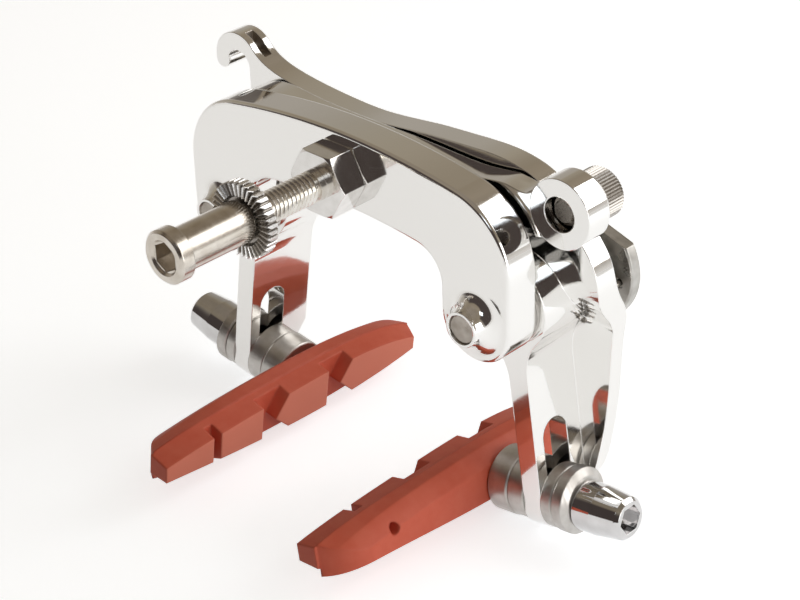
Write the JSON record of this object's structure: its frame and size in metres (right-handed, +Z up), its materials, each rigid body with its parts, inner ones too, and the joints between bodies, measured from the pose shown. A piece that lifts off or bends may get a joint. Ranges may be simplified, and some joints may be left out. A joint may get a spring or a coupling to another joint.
{
  "type": "bicycle caliper brake",
  "caption": "Centre-pull rim brake: crossing polished arms on one plate, cable hook and anchor bolt at their ends, red rubber pads on slotted lugs, and a mounting stud with a recessed nut.",
  "frame": {"origin": "on the axis of the mounting stud, in the rear face of its hexagonal collar, where the bicycle frame bears", "axes": "+X across the wheel towards the pad of the hook arm, +Y away from the bicycle frame, +Z up, as the brake is fitted"},
  "size_m": [0.1172, 0.083, 0.0786],
  "materials": {
    "polished_alloy": "mirror polished forged aluminium",
    "thread_steel": "plated threaded steel",
    "nut_steel": "plated steel",
    "pin_steel": "polished steel",
    "washer_steel": "satin turned steel",
    "adjuster_steel": "satin steel",
    "spring_steel": "spring steel",
    "bush_bronze": "sintered bronze",
    "pad_rubber": "moulded brick-red rubber"
  },
  "bodies": {
    "plate": {"back_plate": "polished_alloy", "mounting_stud": "thread_steel", "pivot_pin_right": "pin_steel", "pivot_pin_left": "pin_steel", "thrust_washer_right": "washer_steel", "thrust_washer_left": "washer_steel", "arm_washer_right": "washer_steel", "arm_washer_left": "washer_steel", "pivot_screw_right": "adjuster_steel", "pivot_screw_left": "adjuster_steel", "return_spring_right": "spring_steel", "return_spring_left": "spring_steel"},
    "right_arm": {"hook_arm": "polished_alloy", "pivot_bush_right": "bush_bronze"},
    "left_arm": {"anchor_arm": "polished_alloy", "pivot_bush_left": "bush_bronze", "anchor_washer": "washer_steel"},
    "cable_bolt": {"anchor_bolt": "nut_steel"},
    "clamp_washer": {"serrated_washer": "washer_steel"},
    "clamp_nut": {"recessed_nut": "nut_steel"},
    "adjuster_right": {"spring_adjuster_right": "adjuster_steel"},
    "pad_seat_right": {"inner_spacer_right": "washer_steel", "inner_washer_right": "washer_steel", "outer_washer_right": "washer_steel", "outer_spacer_right": "washer_steel"},
    "pad_right": {"brake_pad_right": "pad_rubber", "pad_post_right": "thread_steel", "pad_nut_right": "pin_steel"},
    "adjuster_left": {"spring_adjuster_left": "adjuster_steel"},
    "pad_seat_left": {"inner_spacer_left": "washer_steel", "inner_washer_left": "washer_steel", "outer_washer_left": "washer_steel", "outer_spacer_left": "washer_steel"},
    "pad_left": {"brake_pad_left": "pad_rubber", "pad_post_left": "thread_steel", "pad_nut_left": "pin_steel"}
  },
  "joints": [
    {"name": "arm_swing_right", "type": "hinge", "parent": "plate", "child": "right_arm", "pos_m": [0.0328, 0.02225, -0.0186], "axis": [0, 1, 0], "range_deg": [0, 12], "stiffness_Nm_per_rad": 0.15, "springref_deg": -14.32, "deforming": ["return_spring_right"]},
    {"name": "spring_tension_right", "type": "hinge", "parent": "plate", "child": "adjuster_right", "pos_m": [0.0328, 0.0367, -0.0186], "axis": [0, 1, 0], "range_deg": [-40, 40], "deforming": ["return_spring_right"]},
    {"name": "pad_height_right", "type": "slide", "parent": "right_arm", "child": "pad_seat_right", "axis": [-0.144, 0, 0.9896], "range_m": [0, 0.0132]},
    {"name": "pad_angle_right", "type": "hinge", "parent": "pad_seat_right", "child": "pad_right", "pos_m": [0.03765, 0.02, -0.06], "axis": [0.9896, 0, 0.144], "range_deg": [-8, 8]},
    {"name": "arm_swing_left", "type": "hinge", "parent": "plate", "child": "left_arm", "pos_m": [-0.0328, 0.02225, -0.0186], "axis": [0, -1, 0], "range_deg": [0, 12], "stiffness_Nm_per_rad": 0.15, "springref_deg": -14.32, "deforming": ["return_spring_left"]},
    {"name": "spring_tension_left", "type": "hinge", "parent": "plate", "child": "adjuster_left", "pos_m": [-0.0328, 0.0367, -0.0186], "axis": [0, 1, 0], "range_deg": [-40, 40], "deforming": ["return_spring_left"]},
    {"name": "pad_height_left", "type": "slide", "parent": "left_arm", "child": "pad_seat_left", "axis": [0.144, 0, 0.9896], "range_m": [0, 0.0132]},
    {"name": "pad_angle_left", "type": "hinge", "parent": "pad_seat_left", "child": "pad_left", "pos_m": [-0.03765, 0.02, -0.06], "axis": [-0.9896, 0, 0.144], "range_deg": [-8, 8]},
    {"name": "cable_bolt_turn", "type": "hinge", "parent": "left_arm", "child": "cable_bolt", "pos_m": [0.0453, 0.02, 0.0041], "axis": [0, 1, 0], "continuous": true},
    {"name": "clamp_nut_turn", "type": "hinge", "parent": "plate", "child": "clamp_nut", "pos_m": [0, -0.027, 0], "axis": [0, 1, 0], "continuous": true},
    {"name": "clamp_washer_slide", "type": "slide", "parent": "plate", "child": "clamp_washer", "axis": [0, 1, 0], "range_m": [0, 0.0162]}
  ],
  "couplings": [
    {"joint": "arm_swing_left", "follows": "arm_swing_right", "ratio": 1}
  ]
}
